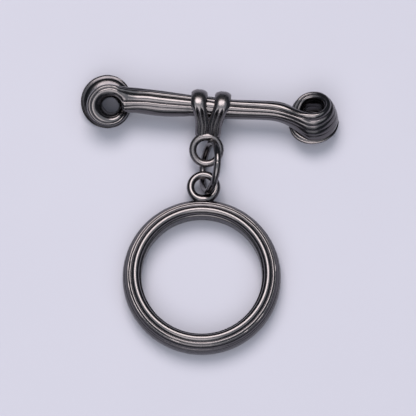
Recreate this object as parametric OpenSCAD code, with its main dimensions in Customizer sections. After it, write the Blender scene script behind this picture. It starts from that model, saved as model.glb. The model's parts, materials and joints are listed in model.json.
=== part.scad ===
// Toggle clasp: a corded ring with an eye, a jump ring, a split bail and a fluted bar with scrolled ends.
// All sizes are in millimetres. The clasp lies on a table: +Z is up and +Y runs from the ring to the bar.

/* [Toggle ring] */
// Outer diameter of the ring
ring_od = 18; // [16:0.5:20]
// Radial width of the ring's section
ring_width = 2.14; // [2:0.02:2.4]
// Height of the ring's section
ring_height = 3.6; // [3.2:0.1:3.8]
// Width of the plain flat back
ring_back_width = 1.1; // [0.8:0.1:1.2]

/* [Ring eye] */
// Diameter of the hole in the ring's eye
eye_hole = 2.1; // [2:0.05:2.2]
// Thickness of the eye's wire
eye_wire = 0.88; // [0.8:0.02:0.92]
// Height of the eye's middle above the table
eye_level = 1.75; // [1.6:0.05:1.9]
// Least metal between the eye's hole and the ring's outer wall
eye_web = 0.58; // [0.5:0.02:0.62]

/* [Jump ring] */
// Outer diameter of the jump ring
jump_od = 6.38; // [6.3:0.02:6.44]
// Thickness of the jump ring's wire
jump_wire = 0.8; // [0.7:0.02:0.82]
// Lean of the jump ring from upright, in degrees
jump_lean = 18; // [17:0.5:19]
// Turn of the jump ring about the upright axis, in degrees
jump_turn = -1.9; // [-3:0.1:-1]
// Width of the cut in the jump ring
jump_cut = 0.05; // [0.03:0.01:0.08]

/* [Bail] */
// Clearance between the bail and the round of the bar
bail_clearance = 0.22; // [0.19:0.01:0.26]
// Thickness of the bail's straps
bail_thickness = 0.56; // [0.5:0.02:0.6]
// Width over both straps where they cross the bar
bail_width = 4.56; // [4.3:0.02:4.7]
// Width of the gap between the straps where they cross the bar
strap_gap = 0.9; // [0.7:0.02:1]
// Width of the bail at its eye
bail_waist = 2.9; // [2.7:0.02:3.1]
// Diameter of the hole in the bail's eye
bail_eye_hole = 2.3; // [2.2:0.02:2.4]
// Thickness of the wire of the bail's eye
bail_eye_wire = 0.85; // [0.8:0.01:0.88]
// Slope of the bail from level, in degrees
bail_slope = 14.5; // [13.5:0.5:15]

/* [Bar] */
// Distance between the middles of the two scrolls
scroll_spacing = 23.04; // [22.8:0.02:23.6]
// Width of the bar inside the bail
bar_width = 2.4; // [2.3:0.01:2.44]
// Height of the bar inside the bail
bar_height = 2.4; // [2.3:0.01:2.44]
// Depth of the grooves between the bar's strands
groove_depth = 0.15; // [0.08:0.01:0.17]

/* [Scrolls] */
// Height of a scroll along its own axis
scroll_height = 4; // [3.8:0.05:4.2]
// Radius from a scroll's middle to the middle of its wall
scroll_radius = 1.88; // [1.84:0.01:1.94]
// Thickness of the wall in a scroll's upper turn
scroll_wall = 1.28; // [1.2:0.01:1.34]
// Thickness of the wall in a scroll's lower turn
scroll_foot = 2.4; // [2.2:0.02:2.46]
// Lean of each scroll's axis away from its own side of the bar, in degrees
scroll_lean = 23; // [21:0.5:24]
// Lean of each scroll's axis towards the middle of the bar, in degrees
scroll_cant = 7; // [5:0.5:8]
// Distance of each scroll's middle from the bar's axis
scroll_offset = 0.98; // [0.94:0.01:1.04]

/* [Hidden] */
$fn = 48;
metal = [0.27, 0.27, 0.29];

// Turns vector v about the unit axis k by angle a
function turned(v, k, a) = v * cos(a) + cross(k, v) * sin(a) + k * (k * v) * (1 - cos(a));
function unit(v) = v / norm(v);
// Slope of column c of a table at row j, and the smooth curve through that column at place s
function slope(t, j, c) =
    let (a = max(j - 1, 0), b = min(j + 1, len(t) - 1)) (t[b][c] - t[a][c]) / (t[b][0] - t[a][0]);
function curve(t, s, c = 1) =
    s <= t[0][0] ? t[0][c] :
    s >= t[len(t) - 1][0] ? t[len(t) - 1][c] :
    let (i = max([for (k = [0:len(t) - 2]) if (t[k][0] <= s) k]), h = t[i + 1][0] - t[i][0],
         x = (s - t[i][0]) / h)
    (2 * x * x * x - 3 * x * x + 1) * t[i][c] + (x * x * x - 2 * x * x + x) * slope(t, i, c) * h
    + (3 * x * x - 2 * x * x * x) * t[i + 1][c] + (x * x * x - x * x) * slope(t, i + 1, c) * h;

function middle(ring) = [for (c = [0:2]) [for (p = ring) 1] * [for (p = ring) p[c]] / len(ring)];
// Faces between rings of n points each: m rings in a row, or joined end to end
function side_faces(n, m, joined) = [
    for (i = [0:m - (joined ? 1 : 2)], k = [0:n - 1])
    let (j = (k + 1) % n, ii = (i + 1) % m)
    each [[i * n + k, i * n + j, ii * n + j], [i * n + k, ii * n + j, ii * n + k]]];

// The bar's section: ten strands round an oval, wide on its outer side by wo and on its inner side by wi.
// The groove on top between the two middle strands is filled by the share fill.
strands = 10;
strand_steps = 4;
section_points = strands * strand_steps;
function strand_section(wo, wi, h, turn, squareness, fill) = [
    for (k = [0:section_points - 1])
    let (a = 360 * k / section_points + turn,
         even = a + (wo + wi - h) / (wo + wi + h) / 2 * 180 / PI * sin(2 * a),
         x = ((k + strand_steps / 2) % strand_steps) / strand_steps * 2 - 1,
         top_groove = abs(k - 2.5 * strand_steps) < strand_steps / 2,
         drop = groove_depth * (1 - sqrt(max(0, 1 - x * x))) * (top_groove ? 1 - fill : 1),
         c = cos(even), s = sin(even), w = c > 0 ? wo : wi, n = norm([c * h / 2, s * w]))
    [w * sign(c) * pow(abs(c), squareness) - c * h / 2 / n * drop,
     h / 2 * sign(s) * pow(abs(s), squareness) - s * w / n * drop]];

// Scroll: its wall goes down one and a half turns. Place is the angle along the wall, and the edges are
// shares of the scroll's height.
upper_share = 0.7;
scroll_path = [
    // place, top edge, low edge, radius, wall, flare, squareness
    [-90, 0, -upper_share, 0.99 * scroll_radius, scroll_wall, 11, 0.72],
    [0, 0, -upper_share, scroll_radius, scroll_wall, 10, 0.72],
    [80, 0, -upper_share, 1.01 * scroll_radius, 0.985 * scroll_wall, 9, 0.72],
    [140, -0.09, -upper_share - 0.015, scroll_radius, 0.985 * scroll_wall, 8, 0.74],
    [180, -0.34, -0.84, 1.01 * scroll_radius, 1.25 * scroll_wall, 6, 0.8],
    [225, -0.62, -1, 1.02 * scroll_radius, 0.875 * scroll_foot, 3, 0.85],
    [270, -upper_share - 0.045, -1, 1.02 * scroll_radius, scroll_foot, 0, 0.85],
    [360, -upper_share - 0.045, -1, 1.02 * scroll_radius, scroll_foot, 0, 0.85],
    [480, -upper_share - 0.05, -1, 1.02 * scroll_radius, scroll_foot, 0, 0.85],
    [525, -0.86, -1, 1.06 * scroll_radius, 0.75 * scroll_foot, 0, 0.85]];
scroll_step = 15;
half_spacing = scroll_spacing / 2;
scroll_level = bar_height / 2;
scroll_axis = turned(turned([0, 0, 1], [1, 0, 0], -scroll_lean), [0, 1, 0], -scroll_cant);
scroll_across = unit(cross([0, 1, 0], scroll_axis));
scroll_along = cross(scroll_axis, scroll_across);

// Out from the scroll's middle, middle of the section, and the wall's own upward direction
function scroll_out(a) = scroll_across * cos(a) + scroll_along * sin(a);
function scroll_point(a) =
    [half_spacing, scroll_offset, scroll_level] + scroll_out(a) * curve(scroll_path, a, 3)
    + scroll_axis * scroll_height * (curve(scroll_path, a, 1) + curve(scroll_path, a, 2)) / 2;
function wall_up(a) = turned(scroll_axis, cross(scroll_axis, scroll_out(a)), -curve(scroll_path, a, 5));
function scroll_ring(a, turn, fill) =
    let (w = curve(scroll_path, a, 4) / 2,
         h = (curve(scroll_path, a, 1) - curve(scroll_path, a, 2)) * scroll_height,
         o = scroll_point(a), v = wall_up(a),
         u = turned(scroll_out(a), cross(scroll_axis, scroll_out(a)), -curve(scroll_path, a, 5)))
    [for (q = strand_section(w, w, h, turn, curve(scroll_path, a, 6), fill)) o + u * q.x + v * q.y];

// The bar from its middle to the right-hand and to the left-hand scroll.
wall_end = scroll_wall / 2 / bar_width;
high_end = upper_share * scroll_height / bar_height;
right_path = [
    // place, outer width, inner width, height, shift, rise, lean, strands' turn, squareness, filled groove
    [0, 0.5, 0.5, 1, 0, 0, 0, 0, 0.9, 0],
    [0.226, 0.496, 0.446, 1, 0.02, 0, 0, 0, 0.9, 0],
    [0.417, 0.454, 0.488, 1, 0.02, 0, 0, 0, 0.9, 0],
    [0.608, 0.417, 0.521, 1.02, 0.02, 0.02, 0, -4, 0.9, 0],
    [0.764, 0.408, 0.563, 1.04, 0.28, 0.2, 0.2, -10, 0.86, 0],
    [0.885, 0.342, 0.458, 1.1, 0.66, 0.62, 0.6, -14, 0.8, 0],
    [0.955, 0.292, 0.325, 1.145, 0.9, 0.9, 0.9, -17, 0.74, 0],
    [1, wall_end, wall_end, high_end, 1, 1, 1, -18, 0.72, 0]];
left_path = [
    // place, outer width, inner width, height, shift, rise, lean, strands' turn, squareness, filled groove
    [0, 0.5, 0.5, 1, 0, 0, 0, 0, 0.9, 0],
    [0.19, 0.503, 0.512, 1, 0.02, 0, 0, -3, 0.9, 0.8],
    [0.26, 0.518, 0.57, 1.02, 0.04, 0, 0, -4, 0.9, 1],
    [0.495, 0.571, 0.675, 1.04, 0.13, 0, 0, -10, 0.9, 1],
    [0.729, 0.5, 0.721, 1.04, 0.42, 0.15, 0.15, 10, 0.88, 1],
    [0.833, 0.396, 0.833, 1.04, 0.66, 0.5, 0.5, 20, 0.86, 1],
    [0.885, 0.354, 0.854, 1.08, 0.78, 0.72, 0.7, 26, 0.82, 1],
    [0.916, 0.325, 0.563, 1.1, 0.85, 0.84, 0.82, 29, 0.8, 1],
    [0.951, 0.292, 0.354, 1.145, 0.93, 0.94, 0.92, 33, 0.76, 1],
    [1, wall_end, wall_end, high_end, 1, 1, 1, 36, 0.72, 1]];
bar_places = [0, 0.113, 0.226, 0.33, 0.434, 0.538, 0.634, 0.72, 0.79, 0.842, 0.881, 0.907, 0.933, 0.964];
function bar_ring(path, s) =
    let (e = scroll_point(-90), lean = curve(path, s, 6),
         v = unit([0, 0, 1] * (1 - lean) + wall_up(-90) * lean),
         u = unit(cross([1, 0, 0], v)), up = cross(u, [1, 0, 0]))
    [for (q = strand_section(curve(path, s, 1) * bar_width, curve(path, s, 2) * bar_width,
                             curve(path, s, 3) * bar_height, curve(path, s, 7), curve(path, s, 8),
                             min(1, max(0, curve(path, s, 9)))))
     [s * e.x, curve(path, s, 4) * e.y, curve(path, s, 5) * e.z] + u * q.x + up * q.y];
// Turn of the strands along each scroll's wall
right_turn = [[-90, -18], [-10, -14], [70, 0]];
left_turn = [[-90, 36], [70, 36]];
fill_fade = [[-90, 1], [0, 0]];
scroll_places = [for (a = [-90:scroll_step:525]) a];
right_half = concat([for (s = bar_places) bar_ring(right_path, s)],
    [for (a = scroll_places) scroll_ring(a, curve(right_turn, a), 0)]);
left_half = concat([for (s = bar_places) bar_ring(left_path, s)],
    [for (a = scroll_places) scroll_ring(a, curve(left_turn, a), curve(fill_fade, a))]);
// The left half is turned half a turn about the upright axis, so its points are counted the other way round
function about(ring) =
    let (n = len(ring)) [for (k = [0:n - 1]) let (p = ring[(n + n / 2 - k) % n]) [-p.x, -p.y, p.z]];
bar_rings = concat([for (i = [len(left_half) - 1:-1:1]) about(left_half[i])], right_half);

// How the pieces lie, from the ring's middle. At the end all of them shift so that the whole is centred.
bar_level = -min([for (r = bar_rings, p = r) p.z]);
bar_yaw = -4.6;
bail_yaw = -5.4;
bar_place = [0.9, ring_od / 2 + 10.8, bar_level];
bail_place = bar_place + [0.08, -0.05, 0];
bar_flat = [for (r = bar_rings, p = r) [
    p.x * cos(bar_yaw) - p.y * sin(bar_yaw), p.x * sin(bar_yaw) + p.y * cos(bar_yaw)]];
bar_x = [min([for (p = bar_flat) p.x]), max([for (p = bar_flat) p.x])];
bar_y = max([for (p = bar_flat) p.y]);
shift = [-bar_place.x - (bar_x[0] + bar_x[1]) / 2, -(bar_place.y + bar_y - ring_od / 2) / 2, 0];

module toggle_bar() {
    n = section_points;
    m = len(bar_rings);
    color(metal) translate(shift + bar_place) rotate([0, 0, bar_yaw])
        polyhedron(
            points = concat([for (r = bar_rings) each r], [middle(bar_rings[0]), middle(bar_rings[m - 1])]),
            faces = concat(side_faces(n, m, false),
                [for (k = [0:n - 1]) [m * n, (k + 1) % n, k]],
                [for (k = [0:n - 1]) [m * n + 1, (m - 1) * n + k, (m - 1) * n + (k + 1) % n]]));
}

// The bail's band, cut by half planes through the bar's axis, at angles from the bail's tip either way
bail_inner = max(bar_width, bar_height) / 2 + bail_clearance;
bail_outer = bail_inner + bail_thickness;
tip_outer = 2.15 * bail_outer;
tip_inner = 2.25 * bail_inner;
tip_flat = 1.81 * bail_outer;
ridge_depth = 0.3 * bail_thickness;
bail_step = 7.5;
half_width = [
    // angle, half the width
    [0, bail_waist / 2], [25, 0.52 * bail_waist], [60, 0.405 * bail_width],
    [95, 0.482 * bail_width], [150, bail_width / 2]];
profile_steps = 28;
// Distance from the bar's axis of a wall of radius r that runs straight to a tip at distance t
function teardrop(r, t, a) = a < acos(r / t) ? r / cos(acos(r / t) - a) : r;
function bail_ring(th) =
    let (a = abs(th), w = curve(half_width, a), low = teardrop(bail_inner, tip_inner, a),
         high = min(teardrop(bail_outer, tip_outer, a), a < 80 ? tip_flat / cos(a) : bail_outer),
         ridges = min(1, max(0, (95 - a) / 30)),
         profile = concat(
             [for (i = [0:profile_steps]) let (x = i / profile_steps * 2 - 1, t = 2 * abs(x) - 1)
              [x * w, low + (high - low) * (1 - 0.32 * pow(abs(t), 3.2))
                      - ridge_depth * ridges * (1 - abs(cos(180 * (t + 1))))]],
             [for (x = [1:-0.25:-1]) [x * w, low]]))
    [for (q = profile) [q.x, -q.y * cos(bail_slope + th), -q.y * sin(bail_slope + th)]];
bail_rings = [for (th = [-180:bail_step:180 - bail_step]) bail_ring(th)];
bail_reach = tip_flat + (bail_eye_hole + bail_eye_wire) / 2 - bail_eye_wire / 4;

module bail() {
    n = len(bail_rings[0]);
    color(metal) translate(shift + bail_place) rotate([0, 0, bail_yaw]) {
        difference() {
            polyhedron(points = [for (r = bail_rings) each r], faces = side_faces(n, len(bail_rings), true));
            // The gap narrows to a point on its way to the eye
            translate([0, 0, -2 * bail_outer]) linear_extrude(4 * bail_outer) polygon([
                [0, -bail_outer], [strap_gap / 2, 0], [strap_gap / 2, 2 * bail_outer],
                [-strap_gap / 2, 2 * bail_outer], [-strap_gap / 2, 0]]);
        }
        rotate([bail_slope, 0, 0]) translate([0, -bail_reach, 0]) wire_ring(bail_eye_hole, bail_eye_wire);
    }
}

// Ring of round wire, by the diameter of its hole
module wire_ring(hole, wire) rotate_extrude() translate([(hole + wire) / 2, 0]) circle(d = wire);

// Cords of the ring's section from its main ridge outwards, as shares of the section's width and height
ring_inner = ring_od / 2 - ring_width;
cords = [
    // across, up, radius as a share of the width
    [0.31, 0.9, 0.168],
    [0.55, 0.912, 0.082],
    [0.665, 0.885, 0.078],
    [0.77, 0.785, 0.105],
    [0.84, 0.64, 0.125],
    [0.85, 0.46, 0.15],
    [0.84, 0.28, 0.13]];
core = [
    // across, up
    [0.08, 0.12], [0, 0.3], [0, 0.66], [0.05, 0.74], [0.15, 0.86], [0.3, 0.94], [0.7, 0.88], [0.84, 0.7],
    [0.9, 0.5], [0.93, 0.14]];
module ring_section() {
    w = ring_width;
    h = ring_height;
    for (s = cords) translate([ring_inner + s[0] * w, s[1] * h]) circle(r = s[2] * w);
    polygon(concat([for (p = core) [ring_inner + p[0] * w, p[1] * h]],
        [[ring_inner + (w + ring_back_width) / 2, 0], [ring_inner + (w - ring_back_width) / 2, 0]]));
}
eye_turn = -1.1;
eye_reach = ring_od / 2 + eye_web + eye_hole / 2;
module toggle_ring() {
    color(metal) translate(shift) {
        rotate_extrude() ring_section();
        rotate([0, 0, eye_turn]) translate([0, eye_reach, eye_level]) wire_ring(eye_hole, eye_wire);
    }
}

jump_place = [0.95, ring_od / 2 + 3.64, jump_od / 2 + 0.1];
module jump_ring() {
    open = jump_cut / (jump_od - jump_wire) * 360 / PI;
    color(metal) translate(shift + jump_place) rotate([0, 0, jump_turn]) rotate([0, 90 + jump_lean, 0])
        rotate([0, 0, 185]) rotate_extrude(angle = 360 - open)
            translate([(jump_od - jump_wire) / 2, 0]) circle(d = jump_wire);
}

toggle_ring();
jump_ring();
bail();
toggle_bar();
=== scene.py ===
"""Looks of a gunmetal toggle clasp: corded ring, jump ring, split bail and fluted bar with scrolled ends."""
import json
import math
import bmesh
import bpy
import numpy as np
from mathutils import Matrix, Vector, noise


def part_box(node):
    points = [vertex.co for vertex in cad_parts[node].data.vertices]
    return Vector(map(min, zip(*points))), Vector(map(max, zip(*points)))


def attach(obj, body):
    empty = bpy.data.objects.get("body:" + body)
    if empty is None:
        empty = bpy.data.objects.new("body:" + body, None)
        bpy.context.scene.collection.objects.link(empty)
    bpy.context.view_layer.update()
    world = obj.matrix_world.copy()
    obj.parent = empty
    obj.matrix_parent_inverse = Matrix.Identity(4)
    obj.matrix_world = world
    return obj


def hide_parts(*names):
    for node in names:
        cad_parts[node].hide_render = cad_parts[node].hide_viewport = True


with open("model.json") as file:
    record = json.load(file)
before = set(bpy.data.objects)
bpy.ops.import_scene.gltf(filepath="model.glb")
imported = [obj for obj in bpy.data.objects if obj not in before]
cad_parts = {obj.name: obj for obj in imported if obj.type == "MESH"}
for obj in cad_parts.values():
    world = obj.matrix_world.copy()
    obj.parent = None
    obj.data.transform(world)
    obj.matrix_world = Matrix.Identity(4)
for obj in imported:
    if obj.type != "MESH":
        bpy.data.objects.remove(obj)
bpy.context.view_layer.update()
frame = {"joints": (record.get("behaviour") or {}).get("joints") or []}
MM = 0.001

# Sizes in millimetres, as the solids have them
RING_OD, RING_WIDTH, RING_HEIGHT, RING_BACK = 18.0, 2.14, 3.6, 1.1
EYE_HOLE, EYE_WIRE, EYE_LEVEL, EYE_WEB, EYE_TURN = 2.1, 0.88, 1.75, 0.58, -1.1
JUMP_OD, JUMP_WIRE, JUMP_LEAN, JUMP_TURN, JUMP_CUT = 6.38, 0.8, 18.0, -1.9, 0.05
BAIL_CLEARANCE, BAIL_THICKNESS, BAIL_WIDTH, STRAP_GAP, BAIL_WAIST = 0.22, 0.56, 4.56, 0.9, 2.9
BAIL_EYE_HOLE, BAIL_EYE_WIRE, BAIL_SLOPE, BAIL_TURN = 2.3, 0.85, 14.5, -0.8
SCROLL_SPACING, BAR_WIDTH, BAR_HEIGHT = 23.04, 2.4, 2.4
SCROLL_HEIGHT, SCROLL_RADIUS, SCROLL_WALL, SCROLL_FOOT = 4.0, 1.88, 1.28, 2.4
SCROLL_LEAN, SCROLL_CANT, SCROLL_OFFSET = 23.0, 7.0, 0.98

# Places from the frame, in millimetres. The shifts say how the bail lies on the bar, and how the jump ring
# hangs in the eyes.
BAIL_SHIFT = [0.08, -0.05, 0.0]
JUMP_ASIDE, JUMP_BEYOND_RING, JUMP_ABOVE_TABLE = 0.95, 3.64, 0.1
joint = frame["joints"][0]
BAR_PLACE = np.array(joint["pos_m"]) / MM
BAR_YAW = math.degrees(math.atan2(joint["axis"][1], joint["axis"][0]))
ring_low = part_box("toggle_ring")[0] / MM
RING_PLACE = np.array([ring_low.x + RING_OD / 2, ring_low.y + RING_OD / 2, 0.0])
BAIL_PLACE = BAR_PLACE + BAIL_SHIFT
JUMP_PLACE = RING_PLACE + [JUMP_ASIDE, RING_OD / 2 + JUMP_BEYOND_RING, JUMP_OD / 2 + JUMP_ABOVE_TABLE]


# Small vector helpers

def unit(v):
    return v / np.linalg.norm(v)


def turned(v, axis, degrees):
    """v turned about a unit axis."""
    a = math.radians(degrees)
    return v * math.cos(a) + np.cross(axis, v) * math.sin(a) + axis * (axis @ v) * (1 - math.cos(a))


def turn(axis, degrees):
    """3x3 matrix of a turn about X, Y or Z."""
    return np.array(Matrix.Rotation(math.radians(degrees), 3, axis))


def curve(table, s, column=1):
    """Smooth curve through one column of a table, at place s of its first column."""
    if s <= table[0][0]:
        return table[0][column]
    if s >= table[-1][0]:
        return table[-1][column]
    i = max(k for k in range(len(table) - 1) if table[k][0] <= s)

    def slope(j):
        a, b = max(j - 1, 0), min(j + 1, len(table) - 1)
        return (table[b][column] - table[a][column]) / (table[b][0] - table[a][0])

    h = table[i + 1][0] - table[i][0]
    x = (s - table[i][0]) / h
    return ((2 * x**3 - 3 * x**2 + 1) * table[i][column] + (x**3 - 2 * x**2 + x) * slope(i) * h
            + (3 * x**2 - 2 * x**3) * table[i + 1][column] + (x**3 - x**2) * slope(i + 1) * h)


def smooth_step(low, high, x):
    """Rises smoothly from 0 at low to 1 at high, which may be the smaller of the two."""
    t = np.clip((x - low) / (high - low), 0, 1)
    return t * t * (3 - 2 * t)


def grain(points, scale):
    """Noise from -1 to 1 at each point, with features of about 1 / scale mm."""
    return np.array([noise.noise(Vector(p) * scale) for p in points])


# Mesh building

def ring_faces(count, around, closed):
    """Quads between count rings of around points each."""
    i, k = np.meshgrid(np.arange(count if closed else count - 1), np.arange(around), indexing="ij")
    j, ii = (k + 1) % around, (i + 1) % count
    return np.stack([i * around + k, ii * around + k, ii * around + j, i * around + j], -1).reshape(-1, 4)


def build(name, points, faces):
    """Object from points in millimetres."""
    mesh = bpy.data.meshes.new(name)
    mesh.from_pydata((np.asarray(points) * MM).tolist(), [], [list(f) for f in faces])
    mesh.update()
    mesh.validate()
    obj = bpy.data.objects.new(name, mesh)
    bpy.context.scene.collection.objects.link(obj)
    return obj


def applied(obj):
    """The object with its modifiers applied."""
    graph = bpy.context.evaluated_depsgraph_get()
    mesh = bpy.data.meshes.new_from_object(obj.evaluated_get(graph))
    obj.modifiers.clear()
    old = obj.data
    obj.data = mesh
    bpy.data.meshes.remove(old)
    return obj


# Length in metres under which an edge is taken out after a union
SLIVER = 4e-7


def fused(obj, *others):
    """obj joined with others into one closed solid."""
    for other in others:
        join = obj.modifiers.new("join", "BOOLEAN")
        join.operation = "UNION"
        join.solver = "EXACT"
        join.object = other
        applied(obj)
        bpy.data.objects.remove(other)
    # The union leaves slivers along its seams
    mesh = bmesh.new()
    mesh.from_mesh(obj.data)
    bmesh.ops.dissolve_degenerate(mesh, dist=SLIVER, edges=mesh.edges)
    bmesh.ops.remove_doubles(mesh, verts=mesh.verts, dist=SLIVER)
    bmesh.ops.triangulate(mesh, faces=mesh.faces)
    mesh.to_mesh(obj.data)
    mesh.free()
    return obj


def coordinates(mesh):
    """The mesh's points, in metres."""
    co = np.empty(len(mesh.vertices) * 3)
    mesh.vertices.foreach_get("co", co)
    return co.reshape(-1, 3)


# Share of its own place that a point keeps each time the mesh is smoothed
KEPT = 0.4


def finish_mesh(obj, reach=6, painted_shade=0.0):
    """Smooth shading, and an attribute that says how deep in a groove each point lies, in millimetres.

    The depth is measured from the mesh smoothed reach times. The extra depth given adds to it where the
    metal is to be darkened as a painted shade, which also makes it rougher and grainier.
    """
    mesh = obj.data
    mesh.shade_smooth()
    co = coordinates(mesh)
    edges = np.empty(len(mesh.edges) * 2, int)
    mesh.edges.foreach_get("vertices", edges)
    a, b = edges.reshape(-1, 2).T
    near = np.bincount(a, minlength=len(co)) + np.bincount(b, minlength=len(co))
    near = np.maximum(near, 1)[:, None]
    flat = co.copy()
    for _ in range(reach):
        total = np.zeros_like(flat)
        np.add.at(total, a, flat[b])
        np.add.at(total, b, flat[a])
        flat = KEPT * flat + (1 - KEPT) * total / near
    normal = np.empty(len(co) * 3)
    mesh.vertex_normals.foreach_get("vector", normal)
    depth = ((flat - co) * normal.reshape(-1, 3)).sum(1) / MM + painted_shade
    # The material darkens the metal where this depth is high: painted shade in the grooves, and the extra
    # painted shade given
    groove = mesh.attributes.new("groove", "FLOAT", "POINT")
    groove.data.foreach_set("value", depth.astype(np.float32))
    return obj


def wire_points(a, b, radius, thick):
    """Points of round wire bent to a ring: angles along and round the wire, ring's radius, wire's radius."""
    r = radius + thick * np.cos(b)
    return np.stack([r * np.cos(a), r * np.sin(a), thick * np.sin(b)], -1).reshape(-1, 3)


# Points along the wire of an eye and round it
EYE_STEPS, EYE_SIDES = 160, 40


def cast_eye(middle, turning, radius, wire, swell):
    """Ring of round wire. swell(angle) widens the wire near what it is cast to."""
    a = np.linspace(0, 2 * math.pi, EYE_STEPS, endpoint=False)
    b = np.linspace(0, 2 * math.pi, EYE_SIDES, endpoint=False)
    a, b = np.meshgrid(a, b, indexing="ij")
    points = wire_points(a, b, radius, wire / 2 * swell(a))
    return build("eye", points @ turning.T + middle, ring_faces(EYE_STEPS, EYE_SIDES, True))


def kept_inside(obj, node):
    """Fits the points into the box of the solid they stand for, which they may pass by a hair."""
    mesh = obj.data
    co = coordinates(mesh)
    box_low, box_high = [np.array(corner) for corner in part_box(node)]
    low, high = co.min(0), co.max(0)
    new_low, new_high = np.maximum(low, box_low), np.minimum(high, box_high)
    co = new_low + (co - low) * (new_high - new_low) / (high - low)
    mesh.vertices.foreach_set("co", co.ravel())
    mesh.update()


# Toggle ring

RING_INNER = RING_OD / 2 - RING_WIDTH
# Points along the ring and round its section
RING_STEPS, RING_SIDES = 400, 190
# The section is drawn from this point, as shares of the width and the height
RING_MIDDLE = [0.5, 0.55]
# How much denser its points lie where the cords are, and the direction of that side in degrees
DENSER, DENSE_SIDE = 0.35, 45
# Main ridge, the two fine lines beside it and the ripples of the inner wall: across, up, radius, as
# shares of the width, the height and the width
CORDS = [[0.32, 0.872, 0.215], [0.59, 0.897, 0.082], [0.7, 0.868, 0.068],
         [0.09, 0.74, 0.09], [0.08, 0.58, 0.09], [0.08, 0.42, 0.09]]
# Round outer flank: across, up, half width, half height
FLANK = [0.6, 0.42, 0.4, 0.5]
# Shallow lines along the flank: direction from the section's middle in degrees, depth in millimetres,
# spread in degrees
FLANK_LINES = [[44, 0.05, 2.6], [25, 0.045, 2.6], [5, 0.045, 3], [-16, 0.03, 3]]
# Corners of the plain core below the cords: across, up
CORE = [[0.08, 0.12], [0.002, 0.3], [0.002, 0.68], [0.05, 0.76], [0.15, 0.86], [0.3, 0.94], [0.7, 0.85],
        [0.8, 0.5], [0.93, 0.14], [0.5 + RING_BACK / RING_WIDTH / 2, 0],
        [0.5 - RING_BACK / RING_WIDTH / 2, 0]]
# The two fine lines are cast unevenly: place across, spread, lowest height, depth in millimetres, grain
# per millimetre
FINE_ACROSS, FINE_SPREAD, FINE_HEIGHT, FINE_DROP, FINE_GRAIN = 0.645, 0.09, 0.8, 0.07, 0.9
# The outer flank and the inner wall are painted darker low down, a painted shade, and are rougher there: how
# much, as a depth of groove in millimetres, from where across and between which heights it comes in
FLANK_PAINTED_SHADE, FLANK_FROM, FLANK_FADE = 0.011, 0.5, (0.8, 0.65)
WALL_PAINTED_SHADE, WALL_TO, WALL_FADE = 0.017, 0.2, (0.84, 0.74)
# Points this far outside the rim, in millimetres, are the eye's
EYE_FROM = 0.01
# The eye's wire swells where it meets the ring: by how much, and over which distance in millimetres
EYE_SWELL, EYE_SWELL_REACH = 0.3, 0.45


def cords_reach(d, size, middle):
    """Distance from the section's middle to the outside of the cords, in each direction d."""
    reach = np.zeros(len(d))
    for across, up, share in CORDS:
        c = np.array([across, up]) * size - middle
        along = d @ c
        inside = along**2 - c @ c + (share * RING_WIDTH)**2
        reach = np.maximum(reach, np.where(inside > 0, along + np.sqrt(np.maximum(inside, 0)), 0))
    return reach


def flank_reach(d, size, middle):
    """The same for the round flank."""
    centre, radii = np.array(FLANK[:2]) * size - middle, np.array(FLANK[2:]) * size
    e, f = d / radii, centre / radii
    a, b = (e * e).sum(1), e @ f
    return (b + np.sqrt(np.maximum(0, b * b - a * (f @ f - 1)))) / a


def core_reach(d, size, middle):
    """The same for the core, where a ray along d crosses one of its sides."""
    reach, least, margin = np.zeros(len(d)), 1e-12, 1e-9
    corners = np.array(CORE) * size - middle
    for p, q in zip(corners, np.roll(corners, -1, 0)):
        e = q - p
        cross = d[:, 0] * e[1] - d[:, 1] * e[0]
        cross = np.where(abs(cross) < least, least, cross)
        t = (p[0] * e[1] - p[1] * e[0]) / cross
        s = (p[0] * d[:, 1] - p[1] * d[:, 0]) / cross
        reach = np.where((s >= -margin) & (s <= 1 + margin) & (t > 0), np.maximum(reach, t), reach)
    return reach


def ring_section():
    """Points of the ring's section, in millimetres from its inner and lower edge."""
    size = np.array([RING_WIDTH, RING_HEIGHT])
    middle = np.array(RING_MIDDLE) * size
    angles = np.linspace(0, 2 * math.pi, RING_SIDES, endpoint=False)
    angles = angles - DENSER * np.sin(angles - math.radians(DENSE_SIDE))
    angles = (angles + math.pi) % (2 * math.pi) - math.pi
    d = np.stack([np.cos(angles), np.sin(angles)], -1)
    reach = np.maximum(cords_reach(d, size, middle), flank_reach(d, size, middle))
    for direction, depth, spread in FLANK_LINES:
        reach = reach - depth * np.exp(-((np.degrees(angles) - direction) / spread)**2)
    return d * np.maximum(reach, core_reach(d, size, middle))[:, None] + middle


def corded_ring():
    section = ring_section()
    a = np.linspace(0, 2 * math.pi, RING_STEPS, endpoint=False)[:, None]
    r = RING_INNER + section[:, 0][None, :]
    z = np.broadcast_to(section[:, 1][None, :], (RING_STEPS, RING_SIDES))
    points = np.stack([r * np.cos(a), r * np.sin(a), z], -1).reshape(-1, 3)
    across = (np.hypot(points[:, 0], points[:, 1]) - RING_INNER) / RING_WIDTH
    fine = np.exp(-((across - FINE_ACROSS) / FINE_SPREAD)**2) * (points[:, 2] > FINE_HEIGHT * RING_HEIGHT)
    points[:, 2] -= FINE_DROP * fine * np.maximum(0, grain(points, FINE_GRAIN))
    return build("toggle_ring_cast", points + RING_PLACE, ring_faces(RING_STEPS, RING_SIDES, True)[:, ::-1])


def ring_eye():
    middle_out = RING_OD / 2 + EYE_WEB + EYE_HOLE / 2
    at = turn("Z", EYE_TURN) @ np.array([0, middle_out, EYE_LEVEL]) + RING_PLACE
    radius = (EYE_HOLE + EYE_WIRE) / 2

    def swell(a):
        gap = middle_out + radius * np.sin(a) - RING_OD / 2
        return 1 + EYE_SWELL * np.exp(-(np.maximum(gap, 0) / EYE_SWELL_REACH)**2)

    return cast_eye(at, turn("Z", EYE_TURN), radius, EYE_WIRE, swell)


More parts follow.
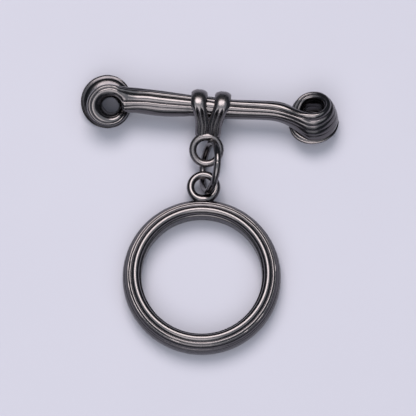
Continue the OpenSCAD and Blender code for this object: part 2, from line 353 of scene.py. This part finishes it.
def toggle_ring():
    cast = fused(corded_ring(), ring_eye())
    at = coordinates(cast.data) / MM - RING_PLACE
    out, level = np.hypot(at[:, 0], at[:, 1]), at[:, 2] / RING_HEIGHT
    on_ring = out < RING_OD / 2 + EYE_FROM
    flank = (out > RING_INNER + FLANK_FROM * RING_WIDTH) & on_ring
    wall = out < RING_INNER + WALL_TO * RING_WIDTH
    # Painted shade: the outer flank and the inner wall darken towards the bottom
    painted_shade = FLANK_PAINTED_SHADE * smooth_step(*FLANK_FADE, level) * flank
    painted_shade = painted_shade + WALL_PAINTED_SHADE * smooth_step(*WALL_FADE, level) * wall
    return finish_mesh(cast, painted_shade=painted_shade)


# Jump ring

# Points along the wire and round it, and how often the mesh is smoothed to find its grooves
JUMP_STEPS, JUMP_SIDES, JUMP_REACH = 260, 28, 2
# Where the cut lies round the ring, in degrees
JUMP_CUT_ANGLE = 185
# The wire's cut ends are a little rounded: share of the radius, length in millimetres
CUT_ROUNDING, CUT_LENGTH = 0.1, 0.05


def capped(count, around):
    """Faces of a tube of count rings of around points, with both ends closed."""
    ends = [list(range(around))[::-1], list(range((count - 1) * around, count * around))]
    return [list(f) for f in ring_faces(count, around, False)] + ends


def jump_ring():
    radius = (JUMP_OD - JUMP_WIRE) / 2
    opening = JUMP_CUT / radius
    a = np.linspace(0, 2 * math.pi - opening, JUMP_STEPS) + math.radians(JUMP_CUT_ANGLE)
    b = np.linspace(0, 2 * math.pi, JUMP_SIDES, endpoint=False)
    from_end = np.minimum(a - a[0], a[-1] - a) * radius
    end = 1 - CUT_ROUNDING * np.exp(-from_end / CUT_LENGTH)
    a, b = np.meshgrid(a, b, indexing="ij")
    points = wire_points(a, b, radius, (JUMP_WIRE / 2 * end)[:, None])
    turning = turn("Z", JUMP_TURN) @ turn("Y", 90 + JUMP_LEAN)
    wire = build("jump_ring_wire", points @ turning.T + JUMP_PLACE, capped(JUMP_STEPS, JUMP_SIDES))
    return finish_mesh(wire, JUMP_REACH)


# Bail

BAIL_INNER = BAR_WIDTH / 2 + BAIL_CLEARANCE
BAIL_OUTER = BAIL_INNER + BAIL_THICKNESS
# Distances from the bar's axis: the points that the outer and inner walls run to, and the flat lower end
TIP_OUTER, TIP_INNER, TIP_FLAT = 2.15 * BAIL_OUTER, 2.25 * BAIL_INNER, 1.81 * BAIL_OUTER
BAIL_REACH = TIP_FLAT + (BAIL_EYE_HOLE + BAIL_EYE_WIRE) / 2 - BAIL_EYE_WIRE / 4
# Half the width over both straps: angle from the tip, width
HALF_WIDTH = [[0, BAIL_WAIST / 2], [25, 0.52 * BAIL_WAIST], [60, 0.405 * BAIL_WIDTH],
              [95, 0.482 * BAIL_WIDTH], [150, BAIL_WIDTH / 2]]
# Sharpness of the corner at the flat lower end, per millimetre. Past this angle from the tip it is gone.
CORNER, CORNER_TO = 7.0, 80
# Degrees between the sections of a strap, and points across it
STRAP_STEP, STRAP_POINTS = 1.5, 61
# The inner wall takes every 12th point across, and is a little narrower
INNER_EVERY, INNER_SHARE = 12, 0.97
# How far the straps run into each other where they meet below the bar, in millimetres
STRAP_OVERLAP = 0.06
# The outer face falls off to the sides: by which share of the thickness, and with which power
DOME_DROP, DOME_POWER = 0.6, 2.8
# Three ridges to a strap: angle from the tip, depth of the grooves between them, depth of their pockets
RIDGES = [[0, 0.06, 0], [12, 0.1, 0], [25, 0.14, 0], [42, 0.16, 0.06], [55, 0.16, 0.2], [68, 0.12, 0.16],
          [80, 0.05, 0.02], [92, 0, 0], [100, 0, 0]]
# Where the grooves and pockets lie across a strap, as shares of half its width
RIDGE_COUNT, RIDGES_WITHIN = 3, 0.67
POCKET_ACROSS, POCKET_SPREAD = 1 / 3, 0.13
# The eye's wire swells towards the straps: by how much, and over how many degrees
BAIL_SWELL, BAIL_SWELL_SPREAD = 0.22, 38


def teardrop(r, tip, a):
    """Distance from the bar's axis of a wall of radius r that runs straight to a tip."""
    start = math.degrees(math.acos(r / tip))
    return r / math.cos(math.radians(start - a)) if a < start else r


def strap(side):
    """One strap of the bail as a closed loop, cut by half planes through the bar's axis."""
    across = np.linspace(-1, 1, STRAP_POINTS)
    back = across[::-INNER_EVERY]
    dome = 1 - DOME_DROP * abs(across)**DOME_POWER
    lobe = (across + 1) * RIDGE_COUNT / 2 % 1 * 2 - 1
    groove = (1 - np.sqrt(np.maximum(0, 1 - lobe**2))) * (abs(across) < RIDGES_WITHIN)
    pocket = np.exp(-((abs(across) - POCKET_ACROSS) / POCKET_SPREAD)**2)
    points = []
    for th in np.arange(-180, 180, STRAP_STEP):
        a = abs(th)
        low = teardrop(BAIL_INNER, TIP_INNER, a)
        high = teardrop(BAIL_OUTER, TIP_OUTER, a)
        if a < CORNER_TO:
            # A rounded corner where the strap meets its flat lower end
            flat_end = TIP_FLAT / math.cos(math.radians(a))
            high = -math.log(math.exp(-CORNER * high) + math.exp(-CORNER * flat_end)) / CORNER
        wide = curve(HALF_WIDTH, a)
        y = -high * math.cos(math.radians(a))
        gap = max(STRAP_GAP / 2 * (1 + min(0, y) / BAIL_OUTER), -STRAP_OVERLAP)
        middle, half = (wide + gap) / 2, (wide - gap) / 2
        drop = curve(RIDGES, a, 1) * groove + curve(RIDGES, a, 2) * pocket
        outer = np.stack([middle + half * across, low + (high - low) * dome - drop], -1)
        inner = np.stack([middle + INNER_SHARE * half * back, np.full(len(back), low)], -1)
        angle = math.radians(BAIL_SLOPE + th)
        loop = np.vstack([outer, inner])
        points += [[side * x, -r * math.cos(angle), -r * math.sin(angle)] for x, r in loop]
    count = len(across) + len(back)
    faces = ring_faces(len(points) // count, count, True)
    return np.array(points), faces if side > 0 else faces[:, ::-1]


def bail():
    turning = turn("Z", BAR_YAW + BAIL_TURN)
    straps = []
    for side in (1, -1):
        points, faces = strap(side)
        straps.append(build("bail_cast", points @ turning.T + BAIL_PLACE, faces))
    sloping = turning @ turn("X", BAIL_SLOPE)

    def swell(a):
        return 1 + BAIL_SWELL * np.exp(-((np.degrees(a) - 90) / BAIL_SWELL_SPREAD)**2)

    at = sloping @ np.array([0, -BAIL_REACH, 0]) + BAIL_PLACE
    eye = cast_eye(at, sloping, (BAIL_EYE_HOLE + BAIL_EYE_WIRE) / 2, BAIL_EYE_WIRE, swell)
    return finish_mesh(fused(*straps, eye))


# Toggle bar

# Strands, points across each, and points round the section
STRANDS, STEPS = 10, 15
AROUND = STRANDS * STEPS
# Sections of each straight half, degrees between the sections of a scroll, and how often the mesh is
# smoothed to find its grooves
HALF_STEPS, SCROLL_STEP, BAR_REACH = 129, 3.5, 12


def strand_section(outer, inner, height, squareness, angles, depths):
    """Section of the bar: strands round an oval, between grooves at the given angles and depths.

    outer and inner are the widths on either side of the middle. A lower squareness gives fuller corners.
    """
    x = np.arange(STEPS) / STEPS
    next_angles, next_depths = np.append(angles[1:], angles[0] + 360), np.append(depths[1:], depths[0])
    a = (angles[:, None] * (1 - x) + next_angles[:, None] * x).ravel()
    drop = (depths[:, None] * (1 - x) + next_depths[:, None] * x) * (1 - np.sqrt(1 - (2 * x - 1)**2))
    drop = drop.ravel()
    wide = outer + inner
    even = np.radians(a + math.degrees((wide - height) / (wide + height) / 2) * np.sin(np.radians(2 * a)))
    c, s = np.cos(even), np.sin(even)
    half = np.where(c > 0, outer, inner)
    n = np.hypot(c * height / 2, s * half)
    return np.stack([half * np.sign(c) * abs(c)**squareness - c * height / 2 / n * drop,
                     height / 2 * np.sign(s) * abs(s)**squareness - s * half / n * drop], -1)


# The scrolls, by the angle round them in degrees: top edge and low edge as shares of the height, radius,
# wall, flare in degrees, squareness. The first turn lies on the second, which both scrolls share.
SCROLL_START, SCROLL_END = -90, 525
UPPER, RIGHT_LOW = 0.7, 0.8
LOWER_TURN = [
    [225, -0.63, -1, 1.02 * SCROLL_RADIUS, 0.875 * SCROLL_FOOT, 2, 0.85],
    [270, -UPPER - 0.045, -1, 1.02 * SCROLL_RADIUS, SCROLL_FOOT, 0, 0.85],
    [360, -UPPER - 0.045, -1, 1.02 * SCROLL_RADIUS, SCROLL_FOOT, 0, 0.85],
    [480, -UPPER - 0.05, -1, 1.02 * SCROLL_RADIUS, SCROLL_FOOT, 0, 0.85],
    [SCROLL_END, -0.86, -1, 1.06 * SCROLL_RADIUS, 0.75 * SCROLL_FOOT, 0, 0.85]]
RIGHT_SCROLL = [
    [SCROLL_START, 0, -RIGHT_LOW, 0.94 * SCROLL_RADIUS, 0.95 * SCROLL_WALL, 3, 0.84],
    [0, -0.02, -RIGHT_LOW, 1.03 * SCROLL_RADIUS, 0.92 * SCROLL_WALL, 2, 0.82],
    [80, -0.05, -RIGHT_LOW, 0.95 * SCROLL_RADIUS, 1.04 * SCROLL_WALL, 2, 0.8],
    [140, -0.16, -0.8, 0.98 * SCROLL_RADIUS, 1.0 * SCROLL_WALL, 2, 0.8],
    [180, -0.38, -0.88, 1.02 * SCROLL_RADIUS, 1.2 * SCROLL_WALL, 2, 0.85]] + LOWER_TURN
LEFT_SCROLL = [
    [SCROLL_START, -0.02, -UPPER, 0.91 * SCROLL_RADIUS, 1.14 * SCROLL_WALL, -9, 0.46],
    [0, -0.02, -UPPER, 0.965 * SCROLL_RADIUS, 1.34 * SCROLL_WALL, -9, 0.46],
    [80, -0.02, -UPPER, 0.82 * SCROLL_RADIUS, 1.02 * SCROLL_WALL, -9, 0.48],
    [140, -0.1, -UPPER - 0.015, 0.86 * SCROLL_RADIUS, 1.0 * SCROLL_WALL, -3, 0.62],
    [180, -0.34, -0.84, 0.97 * SCROLL_RADIUS, 1.25 * SCROLL_WALL, 4, 0.8]] + LOWER_TURN
# How far each upper turn lies from straight above the lower one, in millimetres, and the angles between
# which that ends
RIGHT_MOVED, LEFT_MOVED = np.array([0.1, 0.06, 0]), np.array([-0.25, 0.3, 0])
NEXT_TURN = (110, 250)
# The lower turn narrows to a thin end: by how many millimetres, and from which angle
END_NARROWING, NARROWING_FROM = 0.9, 430
X_AXIS, Y_AXIS, Z_AXIS = np.eye(3)
AXIS = turned(turned(Z_AXIS, X_AXIS, -SCROLL_LEAN), Y_AXIS, -SCROLL_CANT)
ACROSS = unit(np.cross(Y_AXIS, AXIS))
ALONG = np.cross(AXIS, ACROSS)


def scroll_frame(scroll, moved, a):
    """Middle of the section, outward and upward directions, width, height and squareness at angle a.

    moved is how far the upper turn lies from straight above the lower one.
    """
    top, low, radius, wall, flare, squareness = [curve(scroll, a, c) for c in range(1, 7)]
    out = ACROSS * math.cos(math.radians(a)) + ALONG * math.sin(math.radians(a))
    tangent = np.cross(AXIS, out)
    upper = 1 - smooth_step(*NEXT_TURN, a)
    # The hole goes on straight down through the lower turn, whose outer wall stays
    cut = (moved @ out) * (1 - upper) + END_NARROWING * smooth_step(NARROWING_FROM, SCROLL_END, a)
    middle = (np.array([SCROLL_SPACING / 2, SCROLL_OFFSET, BAR_HEIGHT / 2]) + out * (radius + cut / 2)
              + AXIS * SCROLL_HEIGHT * (top + low) / 2 + moved * upper)
    u, v = turned(out, tangent, -flare), turned(AXIS, tangent, -flare)
    return middle, u, v, wall - cut, (top - low) * SCROLL_HEIGHT, squareness


# The straight halves, from 0 in the middle of the bar to 1 where the scroll starts: outer width, inner
# width and height as shares of the bar's, then how much of the scroll's shift, rise and lean is reached,
# and the squareness
END = SCROLL_WALL / 2 / BAR_WIDTH
HIGH_END = UPPER * SCROLL_HEIGHT / BAR_HEIGHT
RIGHT_HIGH_END = RIGHT_LOW * SCROLL_HEIGHT / BAR_HEIGHT
RIGHT_PATH = [
    [0, 0.5, 0.5, 1, 0, 0, 0, 0.9],
    [0.226, 0.496, 0.446, 1, 0.02, 0, 0, 0.9],
    [0.417, 0.454, 0.488, 1, 0.02, 0, 0, 0.9],
    [0.608, 0.417, 0.521, 1.02, 0.02, 0.02, 0, 0.9],
    [0.69, 0.41, 0.54, 1.03, 0.1, 0.07, 0.05, 0.9],
    [0.764, 0.408, 0.53, 1.06, 0.28, 0.275, 0.2, 0.9],
    [0.885, 0.342, 0.43, 1.18, 0.72, 0.79, 0.66, 0.88],
    [0.955, 0.292, 0.325, 1.29, 0.93, 0.955, 0.92, 0.86],
    [1, 0.95 * END, 0.95 * END, RIGHT_HIGH_END, 1, 1, 1, 0.84],
    [1.045, 0.95 * END, 0.95 * END, RIGHT_HIGH_END, 0.94, 1, 1, 0.84]]
LEFT_PATH = [
    [0, 0.5, 0.5, 1, 0, 0, 0, 0.9],
    [0.19, 0.503, 0.512, 1, 0.02, 0, 0, 0.9],
    [0.26, 0.518, 0.57, 1.02, 0.04, 0, 0, 0.9],
    [0.495, 0.571, 0.675, 1.04, 0.13, 0, 0, 0.9],
    [0.729, 0.5, 0.721, 1.04, 0.42, 0.15, 0.15, 0.88],
    [0.833, 0.396, 0.833, 1.04, 0.66, 0.5, 0.5, 0.86],
    [0.885, 0.354, 0.854, 1.08, 0.78, 0.72, 0.7, 0.82],
    [0.916, 0.325, 0.563, 1.1, 0.85, 0.84, 0.82, 0.8],
    [0.951, 0.305, 0.37, 1.145, 0.94, 0.95, 0.94, 0.66],
    [1, 1.14 * END, 1.14 * END, HIGH_END - 0.03, 1, 1, 1, 0.46],
    [1.05, 1.14 * END, 1.14 * END, HIGH_END - 0.03, 0.95, 1, 1, 0.46]]
# Grooves between the strands: place, then the angle of each groove round the section. Place is 0 in the
# middle of the bar, 1 where the scroll starts and 2 at its end.
RIGHT_GROOVES = [
    [0, 0, 36, 72, 108, 144, 180, 216, 252, 288, 324],
    [0.2, -2, 30, 62, 96, 150, 184, 216, 252, 288, 324],
    [0.62, -6, 26, 60, 94, 150, 184, 216, 252, 288, 322],
    [0.8, -14, 15, 46, 80, 148, 180, 208, 244, 276, 310],
    [0.9, -24, 4, 32, 63, 144, 172, 200, 235, 266, 302],
    [1, -34, -6, 20, 48, 140, 168, 196, 226, 260, 296],
    [1.1, -34, -6, 20, 48, 125, 160, 190, 222, 258, 295],
    [1.25, -34, -6, 20, 50, 94, 138, 180, 216, 252, 292],
    [1.45, -34, -6, 20, 52, 92, 138, 180, 216, 252, 292],
    [2, -30, 0, 30, 62, 96, 134, 175, 216, 252, 292]]
LEFT_GROOVES = [
    [0, 0, 36, 72, 108, 144, 180, 216, 252, 288, 324],
    [0.2, 2, 38, 70, 106, 130, 166, 204, 244, 285, 324],
    [0.6, 2, 38, 70, 106, 126, 162, 202, 243, 284, 324],
    [0.75, 2, 45, 82, 113, 134, 163, 200, 240, 282, 322],
    [0.88, 0, 46, 86, 118, 142, 168, 200, 240, 282, 322],
    [1, -6, 35, 84, 114, 142, 172, 202, 238, 276, 314],
    [1.4, -6, 35, 84, 114, 142, 172, 204, 240, 276, 314],
    [2, -4, 34, 72, 106, 138, 172, 206, 242, 282, 320]]
# Depth of the same grooves in millimetres, by place
RIGHT_DEPTHS = [[0, .1, .1, .1, .1, .1, .1, .1, .1, .1, .1],
                [0.2, .03, .06, .16, .38, .12, .1, .1, .1, .1, .1],
                [0.7, .03, .06, .16, .38, .12, .1, .1, .1, .1, .1],
                [1, .03, .04, .07, .22, .06, .04, .04, .05, .05, .05],
                [1.1, .03, .05, .07, .22, .12, .04, .04, .05, .05, .05],
                [1.3, .03, .05, .07, .15, .2, .04, .04, .05, .05, .05],
                [2, .1, .1, .1, .1, .1, .1, .1, .1, .1, .1]]
LEFT_DEPTHS = [[0, .1, .1, .1, .1, .1, .1, .1, .1, .1, .1],
               [0.2, .03, .08, .42, .2, .06, .03, .03, .05, .05, .05],
               [0.6, .03, .08, .42, .2, .06, .03, .03, .05, .05, .05],
               [0.85, .03, .1, .3, .2, .06, .03, .03, .05, .05, .05],
               [1, .02, .02, .16, .07, .03, .02, .04, .05, .05, .05],
               [1.3, .02, .02, .16, .07, .03, .02, .04, .05, .05, .05],
               [1.5, .08, .12, .08, .05, .05, .1, .1, .1, .1, .1],
               [2, .08, .12, .08, .1, .1, .1, .1, .1, .1, .1]]
# Slope of the top: place, rise per length. Above 0 it falls on the hole's side, below 0 on the outer one.
RIGHT_TILT = [[0, 0], [0.85, 0], [1, 0.05], [1.3, 0.05], [1.5, -0.15], [2, -0.3]]
LEFT_TILT = [[0, 0], [0.85, 0], [1, 0.5], [1.32, 0.6], [1.5, -0.35], [2, -0.35]]
# Swell of the wall's foot: place, width in millimetres
RIGHT_SKIRT = [[0, 0], [0.72, 0], [1, 0.82], [1.15, 0.62], [1.3, 0.5], [1.42, 0], [2, 0]]
LEFT_SKIRT = [[0, 0], [2, 0]]
RIGHT_HALF = RIGHT_PATH, RIGHT_SCROLL, RIGHT_MOVED, RIGHT_GROOVES, RIGHT_DEPTHS, RIGHT_TILT, RIGHT_SKIRT
LEFT_HALF = LEFT_PATH, LEFT_SCROLL, LEFT_MOVED, LEFT_GROOVES, LEFT_DEPTHS, LEFT_TILT, LEFT_SKIRT
# Share of the height over which the top's slope comes in
SLOPE_FADE = (-0.15, 0.4)
# The foot swells below this share of the height and sinks by a share of the swell. It comes in over these
# millimetres from the middle.
FOOT_TOP, FOOT_SINK, FOOT_FADE = 0.35, 0.3, (-0.6, 0.0)
# The left end is painted darker low down and on its lower turn, a painted shade, and is rougher there: how
# much, as a depth of groove in millimetres, and between which heights, angles from the scroll's end and
# places along X it comes in
LOW_PAINTED_SHADE, LOW_FADE, LOW_TURN_FADE, LEFT_FADE = 0.019, (2.4, 1.4), (357, 306), (2, -2)


def sloped(q, height, tilt, swell):
    """A section whose top slopes, and whose foot swells outwards to meet the lower turn."""
    share = q[:, 1] / height
    foot = swell * np.clip(FOOT_TOP - share, 0, 1) / (FOOT_TOP + 0.5) * smooth_step(*FOOT_FADE, q[:, 0])
    side = np.minimum(q[:, 0], 0) if tilt > 0 else np.maximum(q[:, 0], 0)
    q[:, 1] += tilt * side * smooth_step(*SLOPE_FADE, share) - FOOT_SINK * foot
    q[:, 0] += foot
    return q


def bar_half(path, scroll, moved, groove_table, depth_table, tilts, swells):
    """Rings of points from the middle of the bar to the end of one scroll."""
    start, _, up_end = scroll_frame(scroll, moved, SCROLL_START)[:3]
    columns = range(1, STRANDS + 1)

    def section(place, outer, inner, height, squareness):
        angles = np.array([curve(groove_table, place, c) for c in columns])
        depths = np.array([curve(depth_table, place, c) for c in columns])
        q = strand_section(outer, inner, height, squareness, angles, depths)
        return sloped(q, height, curve(tilts, place), curve(swells, place))

    rings = []
    for s in np.linspace(0, 1, HALF_STEPS, endpoint=False):
        outer, inner, height, shift, rise, lean, squareness = [curve(path, s, c) for c in range(1, 8)]
        v = unit(Z_AXIS * (1 - lean) + up_end * lean)
        tangent = unit(X_AXIS * (1 - lean) + ACROSS * lean)
        u = unit(np.cross(tangent, v))
        v = np.cross(u, tangent)
        q = section(s, outer * BAR_WIDTH, inner * BAR_WIDTH, height * BAR_HEIGHT, squareness)
        rings.append(start * [s, shift, rise] + q[:, :1] * u + q[:, 1:] * v)
    for a in np.arange(SCROLL_START, SCROLL_END, SCROLL_STEP):
        middle, u, v, wall, height, squareness = scroll_frame(scroll, moved, a)
        place = 1 + (a - SCROLL_START) / (SCROLL_END - SCROLL_START)
        q = section(place, wall / 2, wall / 2, height, squareness)
        rings.append(middle + q[:, :1] * u + q[:, 1:] * v)
    return rings


def toggle_bar():
    # The left half is built like the right one and turned half a turn, and so is the order of its points
    order = (AROUND // 2 - np.arange(AROUND)) % AROUND
    left = [(ring * [-1, -1, 1])[order] for ring in bar_half(*LEFT_HALF)[1:]]
    rings = left[::-1] + bar_half(*RIGHT_HALF)
    points = np.vstack(rings) @ turn("Z", BAR_YAW).T + BAR_PLACE
    from_end = np.repeat(np.arange(len(rings)) * SCROLL_STEP, AROUND)
    # Painted shade: the left end darkens low down and on its lower turn
    low = np.maximum(smooth_step(*LOW_FADE, points[:, 2]), smooth_step(*LOW_TURN_FADE, from_end))
    painted_shade = LOW_PAINTED_SHADE * low * smooth_step(*LEFT_FADE, points[:, 0])
    bar = build("toggle_bar_cast", points, capped(len(rings), AROUND))
    return finish_mesh(bar, BAR_REACH, painted_shade)


# Materials

# Shares of a metal's tone, red, green and blue, at its darkest, which is the bluish painted shade of the
# grooves, and at its brightest
DARK, BRIGHT = (0.2, 0.22, 0.28), (1.15, 1.13, 1.12)
# A groove is at its darkest, as painted shade, at this depth in millimetres, and a crest at its brightest
# this far above
DEPTH = 0.03
# Where the tone lies between dark and bright: on even metal, and what the painted shade of a groove, a crest
# and clouding add
EVEN_SHADE, GROOVE_SHADE, CREST_SHADE, CLOUD_SHADE = 0.72, -0.55, 0.15, 0.12
# Noise scales, per metre, and the range of the noise that is used
CLOUD_SCALE, CLOUD_RANGE = 900.0, (0.3, 0.7)
ROUGH_SCALE, ROUGH_RANGE = 2500.0, (0.35, 0.65)
GRAIN_SCALE, GRAIN_DETAIL = 7000.0, 6.0
# Roughness: its spread about the given one, and what a groove adds
SMOOTHER, ROUGHER, GROOVE_ROUGH = 0.03, 0.04, 0.16
# Casting grain: height in metres, strength on even metal, and what a groove adds
GRAIN_HEIGHT, EVEN_GRAIN, GROOVE_GRAIN = 0.00002, 0.08, 0.88


def gunmetal(name, tone, roughness):
    """Dark plating: polished where it stands proud, rougher in the grooves and darker there, a painted shade
    that is partly the plating's dark antiquing.
    """
    material = bpy.data.materials.new(name)
    material.use_nodes = True
    nodes, links = material.node_tree.nodes, material.node_tree.links
    shader = nodes["Principled BSDF"]
    shader.inputs["Metallic"].default_value = 1.0

    def node(kind, **values):
        n = nodes.new(kind)
        for key, value in values.items():
            setattr(n, key, value)
        return n

    where = node("ShaderNodeTexCoord").outputs["Object"]
    groove = node("ShaderNodeAttribute", attribute_name="groove").outputs["Fac"]

    def noise_at(scale, detail=4.0):
        n = node("ShaderNodeTexNoise")
        n.inputs["Scale"].default_value = scale
        n.inputs["Detail"].default_value = detail
        links.new(where, n.inputs["Vector"])
        return n.outputs["Fac"]

    def ramp(source, *limits):
        """Takes source from the range of the first two limits to that of the last two."""
        n = node("ShaderNodeMapRange")
        n.clamp = True
        for slot, value in zip(("From Min", "From Max", "To Min", "To Max"), limits):
            n.inputs[slot].default_value = value
        links.new(source, n.inputs["Value"])
        return n.outputs["Result"]

    def math_node(operation, a, b):
        n = node("ShaderNodeMath", operation=operation)
        for slot, value in zip(n.inputs, (a, b)):
            if isinstance(value, float):
                slot.default_value = value
            else:
                links.new(value, slot)
        return n.outputs["Value"]

    def share(source, factor):
        return math_node("MULTIPLY", source, factor)

    # Painted shade: the deeper in a groove, the darker the metal, partly the plating's dark antiquing in its
    # hollows
    deep = ramp(groove, 0.0, DEPTH, 0.0, 1.0)
    proud = ramp(groove, -DEPTH, 0.0, 1.0, 0.0)
    cloud = ramp(noise_at(CLOUD_SCALE), *CLOUD_RANGE, 0.0, 1.0)
    shade = math_node("ADD", share(deep, GROOVE_SHADE), share(proud, CREST_SHADE))
    shade = math_node("ADD", shade, share(cloud, CLOUD_SHADE))
    mix = node("ShaderNodeMix", data_type="RGBA")
    mix.inputs["A"].default_value = (*[t * s for t, s in zip(tone, DARK)], 1)
    mix.inputs["B"].default_value = (*[t * s for t, s in zip(tone, BRIGHT)], 1)
    links.new(math_node("ADD", shade, EVEN_SHADE), mix.inputs["Factor"])
    links.new(mix.outputs["Result"], shader.inputs["Base Color"])
    spread = ramp(noise_at(ROUGH_SCALE), *ROUGH_RANGE, roughness - SMOOTHER, roughness + ROUGHER)
    links.new(math_node("ADD", spread, share(deep, GROOVE_ROUGH)), shader.inputs["Roughness"])
    bump = node("ShaderNodeBump")
    bump.inputs["Distance"].default_value = GRAIN_HEIGHT
    links.new(math_node("ADD", share(deep, GROOVE_GRAIN), EVEN_GRAIN), bump.inputs["Strength"])
    links.new(noise_at(GRAIN_SCALE, GRAIN_DETAIL), bump.inputs["Height"])
    links.new(bump.outputs["Normal"], shader.inputs["Normal"])
    return material


# The sheet's two tones, which change into each other over patches of about 1 / PAPER_SCALE metres
PAPER_TONES, PAPER_SCALE = [(0.518, 0.526, 0.61, 1), (0.538, 0.546, 0.63, 1)], 60.0
PAPER_ROUGHNESS, PAPER_SPECULAR = 0.85, 0.15


def paper():
    material = bpy.data.materials.new("pale_sheet")
    material.use_nodes = True
    nodes, links = material.node_tree.nodes, material.node_tree.links
    shader = nodes["Principled BSDF"]
    shader.inputs["Roughness"].default_value = PAPER_ROUGHNESS
    shader.inputs["Specular IOR Level"].default_value = PAPER_SPECULAR
    n = nodes.new("ShaderNodeTexNoise")
    n.inputs["Scale"].default_value = PAPER_SCALE
    mix = nodes.new("ShaderNodeMix")
    mix.data_type = "RGBA"
    mix.inputs["A"].default_value, mix.inputs["B"].default_value = PAPER_TONES
    links.new(nodes.new("ShaderNodeTexCoord").outputs["Object"], n.inputs["Vector"])
    links.new(n.outputs["Fac"], mix.inputs["Factor"])
    links.new(mix.outputs["Result"], shader.inputs["Base Color"])
    return material


# Stage, in metres

FLOOR_HALF = 0.8
ROOM_COLOUR, ROOM_STRENGTH = (0.7, 0.82, 1.0, 1), 0.1
# name, place, diameter, radiance, colour
LAMPS = [("above", (-0.03, 0.14, 0.35), 0.24, 7.0, (1, 0.9, 0.86)),
         ("dome", (0.0, -0.06, 0.42), 0.8, 1.0, (0.9, 0.95, 1)),
         ("near", (-0.05, -0.22, 0.34), 0.26, 2.3, (1, 0.91, 0.88)),
         ("front", (0.0, -0.42, 0.25), 0.34, 0.7, (0.95, 0.97, 1))]


def floor():
    corners = np.array([[-1, -1, 0], [1, -1, 0], [1, 1, 0], [-1, 1, 0]])
    obj = build("floor", corners * FLOOR_HALF / MM, [[0, 1, 2, 3]])
    obj.data.materials.append(paper())


def soft_light(name, place, size, radiance, colour):
    """Round lamp that faces the clasp."""
    data = bpy.data.lights.new(name, "AREA")
    data.shape = "DISK"
    data.size = size
    data.energy = radiance * math.pi**2 * size**2 / 4
    data.color = colour
    obj = bpy.data.objects.new(name, data)
    obj.location = place
    obj.rotation_euler = (-Vector(place)).to_track_quat("-Z", "Y").to_euler()
    bpy.context.scene.collection.objects.link(obj)


def lights():
    bpy.context.scene.view_settings.view_transform = "Standard"
    world = bpy.data.worlds.new("room")
    bpy.context.scene.world = world
    world.use_nodes = True
    background = world.node_tree.nodes["Background"]
    background.inputs["Color"].default_value = ROOM_COLOUR
    background.inputs["Strength"].default_value = ROOM_STRENGTH
    for lamp in LAMPS:
        soft_light(*lamp)


# The photo's width in pixels, the camera's angle above the table in degrees, its distance in millimetres
# and its scale there
IMAGE = 416
CAMERA_ELEVATION, CAMERA_DISTANCE, PIXELS_PER_MM = 73.6, 300.0, 8.85
# Where the middle of the ring's top lies in the photo
RING_TOP_PIXEL = (201.7, 272.75)
SENSOR_WIDTH, CLIP_NEAR, CLIP_FAR = 36.0, 0.01, 10.0


def camera():
    """Camera at the photo's angle, placed so that the ring's top middle falls on its pixel."""
    e = math.radians(CAMERA_ELEVATION)
    back = np.array([0, -math.cos(e), math.sin(e)])
    up = np.array([0, math.sin(e), math.cos(e)])
    right = X_AXIS
    focal = PIXELS_PER_MM * CAMERA_DISTANCE
    aside, upward = RING_TOP_PIXEL[0] - IMAGE / 2, IMAGE / 2 - RING_TOP_PIXEL[1]
    ray = unit(-back * focal + right * aside + up * upward)
    place = RING_PLACE + [0, 0, RING_HEIGHT] - ray * (CAMERA_DISTANCE / (ray @ -back))
    data = bpy.data.cameras.new("camera")
    data.sensor_width = SENSOR_WIDTH
    data.lens = focal / IMAGE * SENSOR_WIDTH
    data.clip_start, data.clip_end = CLIP_NEAR, CLIP_FAR
    obj = bpy.data.objects.new("camera", data)
    basis = np.eye(4)
    basis[:3, 0], basis[:3, 1], basis[:3, 2], basis[:3, 3] = right, up, back, place * MM
    obj.matrix_world = Matrix(basis.tolist())
    bpy.context.scene.collection.objects.link(obj)
    bpy.context.scene.camera = obj


# maker, node that it stands for, body, material slot, tone, roughness. The tones are of one gunmetal: the
# bail's lighter tone is painted light on its straps, and the bar's slightly darker tone a painted shade.
PIECES = [
    (toggle_ring, "toggle_ring", "links", "ring_metal", (0.12, 0.115, 0.12), 0.16),
    (jump_ring, "jump_ring", "links", "jump_ring_metal", (0.125, 0.12, 0.125), 0.16),
    (bail, "bail", "links", "bail_metal", (0.155, 0.148, 0.154), 0.27),
    (toggle_bar, "toggle_bar", "bar", "bar_metal", (0.115, 0.11, 0.115), 0.17),
]
camera()
floor()
lights()
for maker, cad_node, body, slot, tone, roughness in PIECES:
    piece = maker()
    kept_inside(piece, cad_node)
    piece.data.materials.clear()
    piece.data.materials.append(gunmetal(slot, tone, roughness))
    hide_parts(cad_node)
    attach(piece, body)
